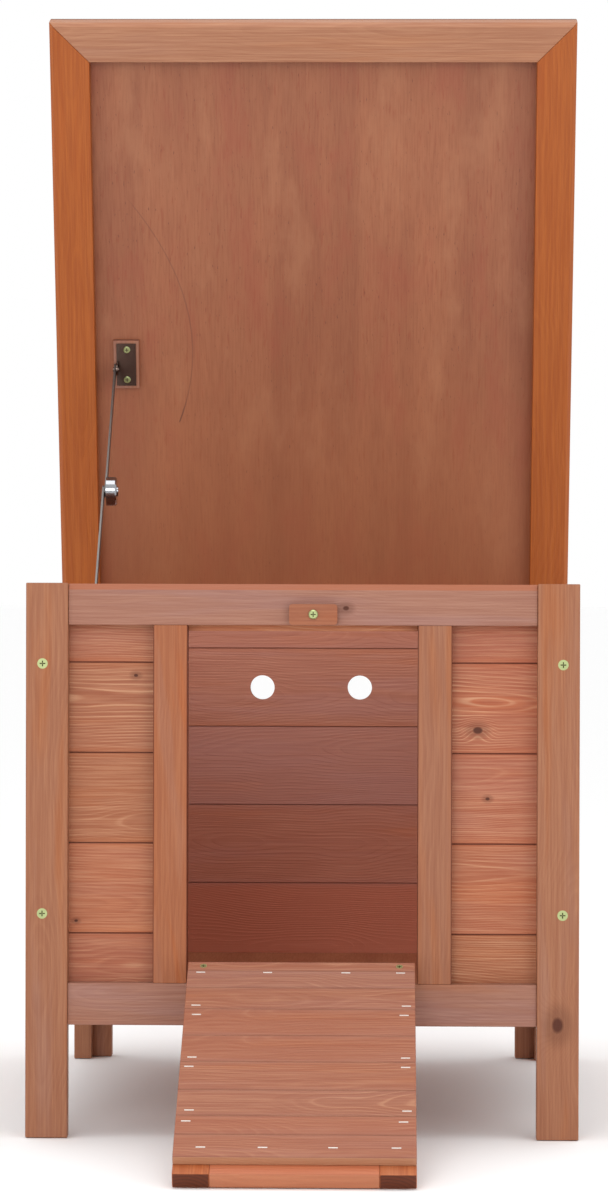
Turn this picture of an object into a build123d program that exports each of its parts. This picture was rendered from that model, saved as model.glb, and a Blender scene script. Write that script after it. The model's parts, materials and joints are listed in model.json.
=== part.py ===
from build123d import *
import math
import os

# A small timber rabbit hutch with a lift-up roof and a door that folds down into a ramp.
# Millimetres. X runs to the hutch's right, +Y to its back, +Z up. While the pieces are made,
# y = 0 is the front face of the front posts and z = 0 is the ground.
# It is modelled as it stands in use: roof propped open, ramp down.

# Driving dimensions of the body
WIDTH = 500.0
DEPTH = 625.0
HEIGHT_FRONT = 502.0
HEIGHT_BACK = 448.0
POST_WIDTH = 38.0
FRAME_THICK = 18.0
RAIL_HEIGHT = 38.0
RAIL_SETBACK = 3.0
SIDE_POST_DEPTH = 20.0
BODY_BOTTOM = 102.0
PLANK_THICK = 9.0
PLANK_PITCH = 82.0
TOP_RAIL_BEVEL = 6.0
FLOOR_THICK = 8.0
FLOOR_Z = 103.0

# Doorway and its stop
DOOR_WIDTH = 208.0
STILE_WIDTH = 31.0
STOP_DROP = 5.5

# Vent holes in the back wall
VENT_X = 51.0
VENT_SHIFT = -3.0
VENT_Z = 389.0
VENT_RADIUS = 12.7
VENT_COURSE = 3

# Roof
ROOF_WIDTH = 532.0
ROOF_LENGTH = 646.0
ROOF_RAIL = 40.0
ROOF_RAIL_THICK = 18.0
ROOF_CHAMFER = 4.0
PLY_THICK = 4.0
FELT_THICK = 2.0
ROOF_GAP = 1.0
ROOF_BACK_EDGE = 3.0
ROOF_OPEN_DEG = 72.0

# Ramp door
RAMP_WIDTH = 204.0
RAMP_START = 2.0
RAMP_END = 321.0
RAMP_BATTEN = 31.0
RAMP_BATTEN_THICK = 14.0
RAMP_PLANK_THICK = 8.0
STAPLE = (8.0, 1.2, 0.4)

# Ramp boards from the hinge down: the width, where the staples sit across it, and their X
RAMP_BOARDS = (
    (15.0, 0.0, ()),
    (28.0, 0.11, (-90.0, -30.0, 40.0, 89.0)),
    (35.0, 0.85, (-92.0, 94.0)),
    (42.5, 0.23, (-91.0, 92.0)),
    (41.5, 0.85, (-92.0, 93.0)),
    (43.5, 0.19, (-94.0, 93.0)),
    (39.0, 0.81, (-91.0, 94.0)),
    (28.0, 0.32, (-93.0, 91.0)),
    (33.5, 0.58, (-79.0, -27.0, 32.0, 85.0)),
)

# Hinges
KNUCKLE_RADIUS = 2.5
PIN_RADIUS = 1.1
PIN_CLEARANCE = 0.06
LEAF_THICK = 1.2
LEAF_WIDTH = 30.0
LEAF_HEIGHT = 18.0
RAMP_HINGE_X = 72.0
KNUCKLE_GAP = 0.3

# Folding roof stay
STAY_UPPER = 189.5
STAY_WIDTH = 12.0
STAY_THICK = 1.8
STAY_HOLE = 2.6
STAY_PIVOT_RADIUS = 2.5
STAY_LOWER_X = -209.1
STAY_UPPER_X = -206.9
STAY_EAR_X = -204.7
STAY_ON_ROOF = 283.5
STAY_DROP = 7.0
KNOB_RADIUS = 14.5
KNOB_LENGTH = 10.5
KNOB_CHAMFER = 1.5
KNOB_BOSS = (5.0, 1.2)
STAY_BLOCK_THICK = 5.0
STAY_BLOCK_MARGIN = 3.0
ROOF_BRACKET_BEHIND = 19.0
ROOF_BRACKET_AHEAD = 26.0
ROOF_BRACKET_WIDTH = 20.0
BRACKET_SCREW_INSET = 6.5
EAR_RADIUS = 6.5
EAR_THICK = 1.5
RIVET_PROUD = 1.2
WALL_BRACKET_HALF = 10.0
WALL_BRACKET_ABOVE = 7.0
WALL_BRACKET_BELOW = 38.0
WALL_SCREWS_BELOW = (32.0, 16.0)
WALL_BOSS_RADIUS = 4.5

# Turn button over the doorway
BUTTON_X = 9.5
BUTTON_Z = 474.0
BUTTON_SIZE = (43.6, 18.7)
BUTTON_THICK = 7.7
BUTTON_CORNER = 3.0
BUTTON_GAP = 0.3
BUTTON_BORE = 2.3

# Wood screws
SCREW_HEAD = 4.7
SCREW_SHANK = 2.2
SCREW_LENGTH = 34.0
POST_SCREW_X = 235.0
POST_SCREW_Z = (203.0, 429.0)
RAMP_SCREW = (3.2, 1.6, 18.0)
RAMP_SCREW_X = 88.0
RAMP_SCREW_INSET = 7.0
BRACKET_SCREW = (3.6, 1.8, 6.0)
WALL_SCREW = (3.6, 1.8, 8.0)
BUTTON_SCREW = (4.2, 2.0, 20.0)
CROSS_DEPTH = 0.8
PAN_HEIGHT = 0.4

HALF = WIDTH / 2
SLOPE = (HEIGHT_FRONT - HEIGHT_BACK) / DEPTH


def roof_z(y):
    """Height of the wall tops at a depth."""
    return HEIGHT_BACK + (DEPTH - y) * SLOPE


# Pivots, as (y, z)
ROOF_PIVOT = (DEPTH + 3.5, roof_z(DEPTH + 3.5))
RAMP_PIVOT = (0.2, BODY_BOTTOM + RAIL_HEIGHT)
RAMP_UNDERSIDE = RAIL_SETBACK - RAMP_PIVOT[0]
RAMP_SLOPE_DEG = math.degrees(
    math.asin(RAMP_PIVOT[1] / math.hypot(RAMP_END, RAMP_UNDERSIDE))
    + math.atan(RAMP_UNDERSIDE / RAMP_END)
)
STAY_BASE_PIVOT = (275.0, 468.0)


def block(x0, x1, y0, y1, z0, z1):
    """A squared timber or plate between opposite corners, in any order."""
    middle = Pos((x0 + x1) / 2, (y0 + y1) / 2, (z0 + z1) / 2)
    return middle * Box(abs(x1 - x0), abs(y1 - y0), abs(z1 - z0))


def side_profile(points, x0, x1):
    """A solid with the given (y, z) outline, running from x0 to x1."""
    face = make_face(Polyline(*points, close=True))
    return extrude(Plane.YZ.offset(min(x0, x1)) * face, amount=abs(x1 - x0))


def under_roof(x0, x1, y0, y1, z0):
    """An upright timber whose top follows the slope of the roof."""
    return side_profile([(y0, z0), (y1, z0), (y1, roof_z(y1)), (y0, roof_z(y0))], x0, x1)


def rod(x0, x1, y, z, radius):
    """A round bar along X."""
    return Pos((x0 + x1) / 2, y, z) * Rot(0, 90, 0) * Cylinder(radius, abs(x1 - x0))


def crossed(body, head, top, depth):
    """Cuts the cross recess into a screw head whose top is at a height."""
    for turn in (0, 90):
        body -= Pos(0, 0, top) * Rot(0, 0, turn) * Box(head * 1.1, head * 0.22, 2 * depth)
    return body


def countersunk_blank(head, shank, length):
    """A screw with no recess: its head lies on z = 0 and its point is at -length."""
    depth = head - shank
    return Pos(0, 0, -depth / 2) * Cone(shank, head, depth) + Pos(0, 0, -length / 2) * Cylinder(shank, length)


def pan_blank(head, shank, length):
    """A screw with no recess: its domed head stands on z = 0 and its shank goes down from it."""
    body = Pos(0, 0, head * PAN_HEIGHT / 2) * Cylinder(head, head * PAN_HEIGHT)
    body = chamfer(body.edges().group_by(Axis.Z)[-1], head * 0.18)
    return body + Pos(0, 0, -length / 2) * Cylinder(shank, length)


def screws_at(places, kind, head, shank, length):
    """Screws set at the places, and the plain blanks that drill the holes they fill."""
    blank = kind(head, shank, length)
    top = 0 if kind is countersunk_blank else head * PAN_HEIGHT
    screw = crossed(blank, head, top, CROSS_DEPTH)
    return [place * screw for place in places], [place * blank for place in places]


def roof_place(shape):
    """Turns a piece made with the roof lying level up to the roof's open place."""
    y, z = ROOF_PIVOT
    return Pos(0, y, z) * Rot(-ROOF_OPEN_DEG, 0, 0) * shape


def ramp_place(shape):
    """Turns a piece made with the ramp lying level down to the ramp's slope."""
    y, z = RAMP_PIVOT
    return Pos(0, y, z) * Rot(RAMP_SLOPE_DEG, 0, 0) * shape


def roof_block(x0, x1, u0, u1, w0, w1):
    """A box on the level roof: u is the distance from the hinge line, w the height above it."""
    return block(x0, x1, -u0, -u1, w0, w1)


def group(solids):
    """Several solids that make one node."""
    return Compound(children=list(solids))


def facing(y, direction):
    """Places a screw made along Z so that its head faces the front (-1) or the back (+1)."""
    return Pos(0, y, 0) * Rot(-90 * direction, 0, 0)


def drilled(shape, holes):
    """The shape with the blanks of its screws taken out."""
    for hole in holes:
        shape -= hole
    return shape


nodes = {}
inside_post = HALF - POST_WIDTH
inside_side = HALF - FRAME_THICK
inside_planks = inside_side - PLANK_THICK
back_face = DEPTH - FRAME_THICK
rail_top = BODY_BOTTOM + RAIL_HEIGHT
lintel_z = HEIGHT_FRONT - RAIL_HEIGHT

# ---------------------------------------------------------------- screws of the body
post_screw_places = [
    Pos(side * POST_SCREW_X, 0, z) * facing(y, direction)
    for side in (-1, 1)
    for z in POST_SCREW_Z
    for y, direction in ((0, -1), (DEPTH, 1))
]
post_screws, post_holes = screws_at(
    post_screw_places, countersunk_blank, SCREW_HEAD, SCREW_SHANK, SCREW_LENGTH
)
base_y, base_z = STAY_BASE_PIVOT
wall_plate_x = EAR_THICK - inside_planks
wall_places = [
    Pos(wall_plate_x, base_y, base_z - below) * Rot(0, 90, 0) for below in WALL_SCREWS_BELOW
]
wall_screws, wall_holes = screws_at(wall_places, pan_blank, *WALL_SCREW)

# ---------------------------------------------------------------- posts and rails
for side, name in ((-1, "left"), (1, "right")):
    front = under_roof(side * HALF, side * inside_post, 0, FRAME_THICK, 0)
    back = under_roof(side * HALF, side * inside_post, back_face, DEPTH, 0)
    side_front = under_roof(
        side * HALF, side * inside_side, FRAME_THICK, FRAME_THICK + SIDE_POST_DEPTH, 0
    )
    side_back = under_roof(
        side * HALF, side * inside_side, back_face - SIDE_POST_DEPTH, back_face, 0
    )
    nodes[f"front_post_{name}"] = drilled(front, post_holes)
    nodes[f"back_post_{name}"] = drilled(back, post_holes)
    nodes[f"side_post_front_{name}"] = drilled(side_front, post_holes)
    nodes[f"side_post_back_{name}"] = drilled(side_back, post_holes)

    rail_y = (FRAME_THICK + SIDE_POST_DEPTH, back_face - SIDE_POST_DEPTH)
    outer = side * (HALF - RAIL_SETBACK)
    nodes[f"side_top_rail_{name}"] = side_profile(
        [
            (rail_y[0], roof_z(rail_y[0]) - RAIL_HEIGHT),
            (rail_y[1], roof_z(rail_y[1]) - RAIL_HEIGHT),
            (rail_y[1], roof_z(rail_y[1])),
            (rail_y[0], roof_z(rail_y[0])),
        ],
        outer,
        side * inside_side,
    )
    nodes[f"side_bottom_rail_{name}"] = block(
        outer, side * inside_side, rail_y[0], rail_y[1], BODY_BOTTOM, rail_top
    )
    nodes[f"door_stile_{name}"] = block(
        side * DOOR_WIDTH / 2, side * (DOOR_WIDTH / 2 + STILE_WIDTH),
        RAIL_SETBACK, FRAME_THICK, rail_top, lintel_z,
    )

nodes["front_top_rail"] = side_profile(
    [
        (RAIL_SETBACK, lintel_z),
        (FRAME_THICK, lintel_z),
        (FRAME_THICK, roof_z(FRAME_THICK)),
        (RAIL_SETBACK + TOP_RAIL_BEVEL, roof_z(RAIL_SETBACK + TOP_RAIL_BEVEL)),
        (RAIL_SETBACK, HEIGHT_FRONT - TOP_RAIL_BEVEL),
    ],
    -inside_post,
    inside_post,
)
nodes["front_bottom_rail"] = block(
    -inside_post, inside_post, RAIL_SETBACK, FRAME_THICK, BODY_BOTTOM, rail_top
)
nodes["back_top_rail"] = under_roof(
    -inside_post, inside_post, back_face, DEPTH - RAIL_SETBACK, HEIGHT_BACK - RAIL_HEIGHT
)
nodes["back_bottom_rail"] = block(
    -inside_post, inside_post, back_face, DEPTH - RAIL_SETBACK, BODY_BOTTOM, rail_top
)

# ---------------------------------------------------------------- wall planks and floor
seams = [BODY_BOTTOM + PLANK_PITCH * i for i in range(5)]


def wall_planks(x0, x1, y0, y1):
    """Courses of horizontal boards; the top one is cut to the roof's slope."""
    planks = [block(x0, x1, y0, y1, z, z + PLANK_PITCH) for z in seams[:-1]]
    planks.append(under_roof(x0, x1, y0, y1, seams[-1]))
    return planks


for side, name in ((-1, "left"), (1, "right")):
    front_wall = wall_planks(
        side * DOOR_WIDTH / 2, side * inside_planks, FRAME_THICK, FRAME_THICK + PLANK_THICK
    )
    for number, plank in enumerate(front_wall, 1):
        nodes[f"front_plank_{name}_{number}"] = plank
    side_wall = wall_planks(side * inside_side, side * inside_planks, FRAME_THICK, back_face)
    nodes[f"side_planks_{name}"] = group(drilled(plank, wall_holes) for plank in side_wall)

vents = [
    Pos(x, back_face, VENT_Z) * Rot(90, 0, 0) * Cylinder(VENT_RADIUS, 4 * PLANK_THICK)
    for x in (VENT_SHIFT - VENT_X, VENT_SHIFT + VENT_X)
]
back_wall = wall_planks(-inside_planks, inside_planks, back_face - PLANK_THICK, back_face)
nodes["back_plank_vented"] = drilled(back_wall.pop(VENT_COURSE), vents)
nodes["back_planks"] = group(back_wall)

nodes["door_stop"] = under_roof(
    -DOOR_WIDTH / 2, DOOR_WIDTH / 2, FRAME_THICK, FRAME_THICK + PLANK_THICK, lintel_z - STOP_DROP
)
floor_z = (FLOOR_Z, FLOOR_Z + FLOOR_THICK)
floor = block(
    -inside_planks, inside_planks, FRAME_THICK + PLANK_THICK, back_face - PLANK_THICK, *floor_z
)
floor += block(-DOOR_WIDTH / 2, DOOR_WIDTH / 2, FRAME_THICK, FRAME_THICK + PLANK_THICK, *floor_z)
nodes["floor_panel"] = floor

# ---------------------------------------------------------------- roof
half_roof = ROOF_WIDTH / 2
inner_x = half_roof - ROOF_RAIL
inner_near = ROOF_BACK_EDGE + ROOF_RAIL
inner_far = ROOF_LENGTH - ROOF_RAIL
ply_w = ROOF_GAP + ROOF_RAIL_THICK


def roof_rail(corners, outward):
    """A mitred rail of the roof frame, with its outer lower edge bevelled."""
    face = make_face(Polyline(*[(x, -u) for x, u in corners], close=True))
    rail = Pos(0, 0, ROOF_GAP) * extrude(face, amount=ROOF_RAIL_THICK, dir=(0, 0, 1))
    lower = rail.edges().group_by(Axis.Z)[0]
    return chamfer(lower.sort_by(lambda edge: edge.center().dot(Vector(*outward)))[-1], ROOF_CHAMFER)


roof_rails = {
    "roof_rail_front": (
        [(-half_roof, ROOF_LENGTH), (half_roof, ROOF_LENGTH), (inner_x, inner_far), (-inner_x, inner_far)],
        (0, -1, 0),
    ),
    "roof_rail_back": (
        [(-half_roof, ROOF_BACK_EDGE), (half_roof, ROOF_BACK_EDGE), (inner_x, inner_near),
         (-inner_x, inner_near)],
        (0, 1, 0),
    ),
    "roof_rail_left": (
        [(-half_roof, ROOF_BACK_EDGE), (-inner_x, inner_near), (-inner_x, inner_far),
         (-half_roof, ROOF_LENGTH)],
        (-1, 0, 0),
    ),
    "roof_rail_right": (
        [(half_roof, ROOF_BACK_EDGE), (inner_x, inner_near), (inner_x, inner_far),
         (half_roof, ROOF_LENGTH)],
        (1, 0, 0),
    ),
}
for name, (corners, outward) in roof_rails.items():
    nodes[name] = roof_place(roof_rail(corners, outward))

# ---------------------------------------------------------------- hinges


def hinge_leaf(x, plate, barrels, radius):
    """One leaf about the X axis: its plate, its share of the knuckles and the web between."""
    y0, y1, z0, z1 = plate
    leaf = block(x - LEAF_WIDTH / 2, x + LEAF_WIDTH / 2, y0, y1, z0, z1)
    for x0, x1 in barrels:
        leaf += rod(x + x0, x + x1, 0, 0, KNUCKLE_RADIUS)
        leaf += block(x + x0, x + x1, y0, 0, z0, 0)
    return leaf - rod(x - LEAF_WIDTH, x + LEAF_WIDTH, 0, 0, radius)


third = LEAF_WIDTH / 6
outer_barrels = ((-3 * third, -third - KNUCKLE_GAP), (third + KNUCKLE_GAP, 3 * third))
inner_barrels = ((-third, third),)
web = KNUCKLE_RADIUS + 0.5
hole = PIN_RADIUS + PIN_CLEARANCE
roof_hinge_x = HALF - POST_WIDTH / 2

body_leaves = []
roof_leaves = []
ramp_body_leaves = []
ramp_leaves = []
pins = []
for side in (-1, 1):
    x = side * roof_hinge_x
    body_plate = (DEPTH - ROOF_PIVOT[0], DEPTH + LEAF_THICK - ROOF_PIVOT[0], -web, -web - LEAF_HEIGHT)
    roof_plate = (-ROOF_BACK_EDGE, LEAF_THICK - ROOF_BACK_EDGE, web, web + LEAF_HEIGHT)
    body_leaves.append(Pos(0, *ROOF_PIVOT) * hinge_leaf(x, body_plate, outer_barrels, PIN_RADIUS))
    roof_leaves.append(roof_place(hinge_leaf(x, roof_plate, inner_barrels, hole)))
    pins.append(rod(x - LEAF_WIDTH / 2, x + LEAF_WIDTH / 2, *ROOF_PIVOT, PIN_RADIUS))

    x = side * RAMP_HINGE_X
    rail_face = RAIL_SETBACK - RAMP_PIVOT[0]
    body_plate = (rail_face, rail_face - LEAF_THICK, -web, -web - LEAF_HEIGHT)
    ramp_body_leaves.append(Pos(0, *RAMP_PIVOT) * hinge_leaf(x, body_plate, outer_barrels, PIN_RADIUS))
    closed_plate = (RAMP_UNDERSIDE, RAMP_UNDERSIDE - LEAF_THICK, web, web + LEAF_HEIGHT)
    ramp_leaves.append(ramp_place(Rot(90, 0, 0) * hinge_leaf(x, closed_plate, inner_barrels, hole)))
    pins.append(rod(x - LEAF_WIDTH / 2, x + LEAF_WIDTH / 2, *RAMP_PIVOT, PIN_RADIUS))

nodes["roof_hinge_body_leaves"] = group(body_leaves)
nodes["roof_hinge_roof_leaves"] = group(roof_leaves)
nodes["ramp_hinge_body_leaves"] = group(ramp_body_leaves)
nodes["ramp_hinge_ramp_leaves"] = group(ramp_leaves)
nodes["hinge_pins"] = group(pins)

# ---------------------------------------------------------------- folding stay
plate_x = (STAY_EAR_X, STAY_EAR_X + ROOF_BRACKET_WIDTH)
plate_u = (STAY_ON_ROOF - ROOF_BRACKET_BEHIND, STAY_ON_ROOF + ROOF_BRACKET_AHEAD)
block_w = ply_w - STAY_BLOCK_THICK
plate_w = block_w - LEAF_THICK
bracket_places = [
    Pos((plate_x[0] + EAR_THICK + plate_x[1]) / 2, -u, plate_w) * Rot(180, 0, 0)
    for u in (plate_u[0] + BRACKET_SCREW_INSET, plate_u[1] - BRACKET_SCREW_INSET)
]
bracket_screws, bracket_holes = screws_at(bracket_places, pan_blank, *BRACKET_SCREW)
stay_block = roof_block(
    plate_x[0] - STAY_BLOCK_MARGIN, plate_x[1] + STAY_BLOCK_MARGIN,
    plate_u[0] - STAY_BLOCK_MARGIN, plate_u[1] + STAY_BLOCK_MARGIN, block_w, ply_w,
)
ear_x = (STAY_EAR_X, STAY_EAR_X + EAR_THICK)
roof_bracket = roof_block(*plate_x, *plate_u, plate_w, block_w)
roof_bracket += rod(*ear_x, -STAY_ON_ROOF, STAY_DROP, EAR_RADIUS)
roof_bracket += roof_block(
    *ear_x, STAY_ON_ROOF - EAR_RADIUS, STAY_ON_ROOF + EAR_RADIUS, STAY_DROP, block_w
)
roof_bracket += rod(
    STAY_UPPER_X - RIVET_PROUD, ear_x[1] + RIVET_PROUD, -STAY_ON_ROOF, STAY_DROP, STAY_PIVOT_RADIUS
)
nodes["stay_block"] = roof_place(drilled(stay_block, bracket_holes))
nodes["stay_roof_bracket"] = roof_place(drilled(roof_bracket, bracket_holes))
nodes["roof_screws"] = group(roof_place(screw) for screw in bracket_screws)

open_rad = math.radians(ROOF_OPEN_DEG)
stay_roof_pivot = (
    ROOF_PIVOT[0] - STAY_ON_ROOF * math.cos(open_rad) + STAY_DROP * math.sin(open_rad),
    ROOF_PIVOT[1] + STAY_ON_ROOF * math.sin(open_rad) + STAY_DROP * math.cos(open_rad),
)


def stay_arm(length, x):
    """A flat bar along +Y from its pivot hole, with rounded ends."""
    arm = block(x, x + STAY_THICK, 0, length, -STAY_WIDTH / 2, STAY_WIDTH / 2)
    for end in (0, length):
        arm += rod(x, x + STAY_THICK, end, 0, STAY_WIDTH / 2)
    return arm - rod(x - 1, x + STAY_THICK + 1, 0, 0, STAY_HOLE)


reach = (stay_roof_pivot[0] - STAY_BASE_PIVOT[0], stay_roof_pivot[1] - STAY_BASE_PIVOT[1])
stay_angle = math.degrees(math.atan2(reach[1], reach[0]))
stay_lower_length = math.hypot(*reach) - STAY_UPPER
lower_arm = stay_arm(stay_lower_length, STAY_LOWER_X)
upper_arm = stay_arm(STAY_UPPER, STAY_UPPER_X)
knob_x = STAY_UPPER_X + STAY_THICK
knob = rod(knob_x, knob_x + KNOB_LENGTH, STAY_UPPER, 0, KNOB_RADIUS)
knob = chamfer(knob.edges().group_by(Axis.X)[-1], KNOB_CHAMFER)
boss_radius, boss_length = KNOB_BOSS
knob += rod(knob_x + KNOB_LENGTH, knob_x + KNOB_LENGTH + boss_length, STAY_UPPER, 0, boss_radius)
lower_place = Pos(0, *STAY_BASE_PIVOT) * Rot(stay_angle, 0, 0)
upper_place = Pos(0, *stay_roof_pivot) * Rot(stay_angle + 180, 0, 0)
nodes["stay_lower_arm"] = lower_place * lower_arm
nodes["stay_upper_arm"] = upper_place * upper_arm
nodes["stay_knob"] = upper_place * knob

base_plate = block(
    -inside_planks, wall_plate_x, base_y - WALL_BRACKET_HALF, base_y + WALL_BRACKET_HALF,
    base_z - WALL_BRACKET_BELOW, base_z + WALL_BRACKET_ABOVE,
)
base_plate += rod(wall_plate_x, STAY_LOWER_X + STAY_THICK + 0.3, base_y, base_z, STAY_PIVOT_RADIUS)
base_plate += rod(wall_plate_x, STAY_LOWER_X - 0.4, base_y, base_z, WALL_BOSS_RADIUS)
nodes["stay_wall_bracket"] = drilled(base_plate, wall_holes)

# ---------------------------------------------------------------- roof sheet and felt
sheet = roof_block(-half_roof, half_roof, ROOF_BACK_EDGE, ROOF_LENGTH, ply_w, ply_w + PLY_THICK)
nodes["roof_panel"] = roof_place(drilled(sheet, bracket_holes))
nodes["roof_felt"] = roof_place(
    roof_block(
        -half_roof, half_roof, ROOF_BACK_EDGE, ROOF_LENGTH,
        ply_w + PLY_THICK, ply_w + PLY_THICK + FELT_THICK,
    )
)

# ---------------------------------------------------------------- ramp
half_ramp = RAMP_WIDTH / 2
batten_w = (RAMP_UNDERSIDE, RAMP_UNDERSIDE + RAMP_BATTEN_THICK)
plank_w = (batten_w[1], batten_w[1] + RAMP_PLANK_THICK)
ramp_places = [
    Pos(side * RAMP_SCREW_X, -RAMP_START - RAMP_SCREW_INSET, plank_w[1]) for side in (-1, 1)
]
ramp_screws, ramp_holes = screws_at(ramp_places, countersunk_blank, *RAMP_SCREW)
for side, name in ((-1, "left"), (1, "right")):
    batten = roof_block(side * half_ramp, side * (half_ramp - RAMP_BATTEN), RAMP_START, RAMP_END, *batten_w)
    nodes[f"ramp_batten_{name}"] = ramp_place(drilled(batten, ramp_holes))
nodes["ramp_cross_battens"] = group(
    ramp_place(
        roof_block(
            RAMP_BATTEN - half_ramp, half_ramp - RAMP_BATTEN, start, start + RAMP_BATTEN, *batten_w
        )
    )
    for start in (RAMP_START, RAMP_END - RAMP_BATTEN)
)

planks = []
staples = []
start = RAMP_START
for width, staple_at, staple_places in RAMP_BOARDS:
    planks.append(roof_block(-half_ramp, half_ramp, start, start + width, *plank_w))
    u = start + width * staple_at
    for x in staple_places:
        staples.append(Pos(x, -u, plank_w[1] + STAPLE[2] / 2) * Box(*STAPLE))
    start += width
nodes["ramp_planks"] = group(ramp_place(drilled(plank, ramp_holes)) for plank in planks)
nodes["ramp_staples"] = group(ramp_place(staple) for staple in staples)
nodes["ramp_screws"] = group(ramp_place(screw) for screw in ramp_screws)

# ---------------------------------------------------------------- turn button
button_back = RAIL_SETBACK - BUTTON_GAP
button = block(
    -BUTTON_SIZE[0] / 2, BUTTON_SIZE[0] / 2, button_back - BUTTON_THICK, button_back,
    -BUTTON_SIZE[1] / 2, BUTTON_SIZE[1] / 2,
)
button = fillet(button.edges().filter_by(Axis.Y), BUTTON_CORNER)
button -= Rot(90, 0, 0) * Cylinder(BUTTON_BORE, 4 * BUTTON_THICK)
nodes["turn_button"] = Pos(BUTTON_X, 0, BUTTON_Z) * button
button_place = Pos(BUTTON_X, button_back - BUTTON_THICK - BUTTON_GAP, BUTTON_Z) * Rot(90, 0, 0)
button_screws, button_holes = screws_at([button_place], pan_blank, *BUTTON_SCREW)
nodes["front_top_rail"] = drilled(nodes["front_top_rail"], button_holes)
nodes["body_screws"] = group(post_screws + button_screws + wall_screws)

# ---------------------------------------------------------------- origin and files
whole = Compound(children=[Compound(node.solids()) for node in nodes.values()]).bounding_box()
ORIGIN_Y = (whole.min.Y + whole.max.Y) / 2
os.makedirs("parts", exist_ok=True)
for name, node in nodes.items():
    solids = (Pos(0, -ORIGIN_Y, 0) * node).solids()
    export_step(Compound(solids) if len(solids) > 1 else solids[0], f"parts/{name}.step")
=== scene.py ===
import json
import math
import random
from bisect import bisect

import bmesh
import bpy
from mathutils import Matrix, Vector

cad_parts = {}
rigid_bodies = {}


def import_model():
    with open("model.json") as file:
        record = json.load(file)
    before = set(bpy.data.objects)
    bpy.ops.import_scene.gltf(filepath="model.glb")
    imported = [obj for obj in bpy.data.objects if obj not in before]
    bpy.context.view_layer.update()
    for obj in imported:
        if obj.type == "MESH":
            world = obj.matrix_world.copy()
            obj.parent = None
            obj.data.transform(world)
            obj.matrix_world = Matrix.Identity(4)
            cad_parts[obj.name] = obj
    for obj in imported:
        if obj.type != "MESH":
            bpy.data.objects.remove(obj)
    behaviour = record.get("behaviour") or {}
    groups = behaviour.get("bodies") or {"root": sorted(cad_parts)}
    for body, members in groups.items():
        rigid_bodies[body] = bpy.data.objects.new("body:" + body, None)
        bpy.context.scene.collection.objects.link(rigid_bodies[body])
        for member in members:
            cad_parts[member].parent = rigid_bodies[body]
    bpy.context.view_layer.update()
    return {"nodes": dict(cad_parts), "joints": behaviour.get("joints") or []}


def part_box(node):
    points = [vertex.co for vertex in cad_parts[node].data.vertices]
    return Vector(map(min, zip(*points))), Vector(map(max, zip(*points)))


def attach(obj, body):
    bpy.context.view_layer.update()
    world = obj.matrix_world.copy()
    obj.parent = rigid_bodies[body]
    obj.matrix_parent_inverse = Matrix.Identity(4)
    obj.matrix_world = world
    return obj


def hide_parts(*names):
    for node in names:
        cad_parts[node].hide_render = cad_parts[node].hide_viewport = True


for starter in list(bpy.data.objects):
    bpy.data.objects.remove(starter)
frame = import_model()
nodes = frame["nodes"]
joints = {joint["name"]: joint for joint in frame["joints"]}
random.seed(11)

# ---------------------------------------------------------------- sizes, in metres
# Heights of the seams between the wall's boards
PLANK_SEAMS = (0.184, 0.266, 0.348, 0.430)
# Where the ramp's first board starts, and the boards' widths from the hinge down
RAMP_START = 0.002
RAMP_PLANKS = (0.015, 0.028, 0.035, 0.0425, 0.0415, 0.0435, 0.039, 0.028, 0.0335)
CROSS_BATTEN_SPLIT = -0.16
ROOF_OPEN_DEG = 72.0
RAMP_SLOPE_DEG = 26.36
# Rounded edges, and the tolerances for cleaning a board's mesh before they are made
EDGE_ROUND = 0.0009
EDGE_SEGMENTS = 3
EDGE_ANGLE = math.radians(30)
FLAT_ANGLE = math.radians(0.5)
LONG_EDGE = 0.006
WELD_GAP = 0.00001
SAME_POINT = 0.000004
JUST_INSIDE = 0.0002
# Screws on the leaves of the hinges
HINGE_SCREW = 0.0030
HINGE_SCREW_HEIGHT = 0.0011
HINGE_SCREW_INSET = 0.0075
LEAF_LENGTH = 0.030
KNUCKLE_CLEAR = 0.0045
# The shape of a screw head: parts of its radius and of its height, from the base up
HEAD_PROFILE = ((1.0, 0.0), (0.94, 0.45), (0.72, 0.85), (0.50, 1.0))
HEAD_SIDES = 28
CROSS_ARM = 0.40
CROSS_SLOT = 0.09
CROSS_FLOOR = 0.15
# The scuff under the roof, measured from the hinge and from the middle of the sheet
SCUFF_X = -0.126
SCUFF_CURVE = 2.5
SCUFF_BOW_AT = 0.300
SCUFF_NEAR = 0.222
SCUFF_FAR = 0.465
SCUFF_LINE = (0.0003, 0.0011)

# The frames in which a board's grain runs along an axis: how far each is turned about X.
TILTS = {
    "level": (Vector((0, 0, 0)), 0.0),
    "roof": (Vector(joints["roof_hinge"]["pos_m"]), math.radians(-ROOF_OPEN_DEG)),
    "ramp": (Vector(joints["ramp_hinge"]["pos_m"]), math.radians(RAMP_SLOPE_DEG)),
    "hinge_roof": (Vector(joints["roof_hinge"]["pos_m"]), 0.0),
    "hinge_ramp": (Vector(joints["ramp_hinge"]["pos_m"]), 0.0),
}


# ---------------------------------------------------------------- colours
def rgb(red, green, blue):
    """A colour given in sRGB steps of 255, as linear values for a shader."""
    def linear(step):
        value = step / 255
        return value / 12.92 if value <= 0.04045 else ((value + 0.055) / 1.055) ** 2.4
    return (linear(red), linear(green), linear(blue), 1.0)


def tinted(color, gains):
    """A colour with each of its three channels multiplied by a gain."""
    return tuple(channel * gain for channel, gain in zip(color, gains)) + (1,)


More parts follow.
